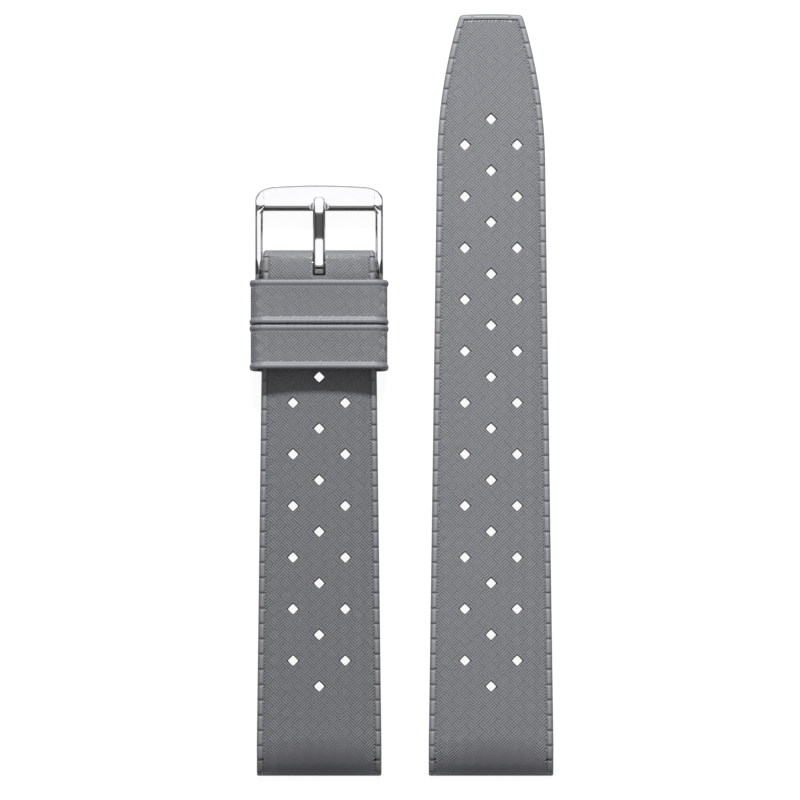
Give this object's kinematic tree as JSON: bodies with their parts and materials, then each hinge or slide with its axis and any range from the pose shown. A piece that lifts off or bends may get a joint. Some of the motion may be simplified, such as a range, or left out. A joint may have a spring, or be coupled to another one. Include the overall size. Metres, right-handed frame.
{
  "type": "silicone watch strap",
  "caption": "Vented grey silicone watch strap in two pieces, with raised stitched rails, a woven front, diamond holes, loose keepers and a polished spring-bar buckle.",
  "frame": {"origin": "on the surface that the strap lies on, below the middle of the box round the whole strap", "axes": "+Y from the lug ends towards the buckle and the tip, +X to the right, +Z out of the front face"},
  "size_m": [0.0482, 0.121, 0.0083],
  "materials": {
    "silicone": "matte",
    "polished_steel": "polished",
    "bar_steel": "satin"
  },
  "bodies": {
    "root": {"short_strap": "silicone", "spring_bar_tube": "bar_steel", "spring_bar_spring": "bar_steel"},
    "frame": {"buckle_frame": "polished_steel"},
    "tongue": {"buckle_tongue": "polished_steel"},
    "tip_left": {"spring_bar_tip_left": "bar_steel"},
    "tip_right": {"spring_bar_tip_right": "bar_steel"},
    "loop_front": {"keeper_front": "silicone"},
    "loop_rear": {"keeper_rear": "silicone"},
    "tail": {"long_strap": "silicone"}
  },
  "joints": [
    {"name": "frame_hinge", "type": "hinge", "parent": "root", "child": "frame", "pos_m": [-0.01308, 0.0208, 0.00175], "axis": [1, 0, 0], "range_deg": [-90, 15]},
    {"name": "tongue_hinge", "type": "hinge", "parent": "frame", "child": "tongue", "pos_m": [-0.01308, 0.0208, 0.00175], "axis": [1, 0, 0], "range_deg": [0, 75]},
    {"name": "tip_left_slide", "type": "slide", "parent": "root", "child": "tip_left", "axis": [1, 0, 0], "range_m": [0, 0.00085], "stiffness_N_per_m": 1500, "springref_m": -0.0003, "deforming": ["spring_bar_spring"]},
    {"name": "tip_right_slide", "type": "slide", "parent": "root", "child": "tip_right", "axis": [-1, 0, 0], "range_m": [0, 0.00085], "stiffness_N_per_m": 1500, "springref_m": -0.0003, "deforming": ["spring_bar_spring"]},
    {"name": "keeper_front_slide", "type": "slide", "parent": "root", "child": "loop_front", "axis": [0, -1, 0], "range_m": [0, 0.017]},
    {"name": "keeper_rear_slide", "type": "slide", "parent": "loop_front", "child": "loop_rear", "axis": [0, -1, 0], "range_m": [0, 0.017]},
    {"name": "tail_apart", "type": "slide", "parent": "root", "child": "tail", "axis": [1, 0, 0], "range_m": [0, 0.03]}
  ]
}
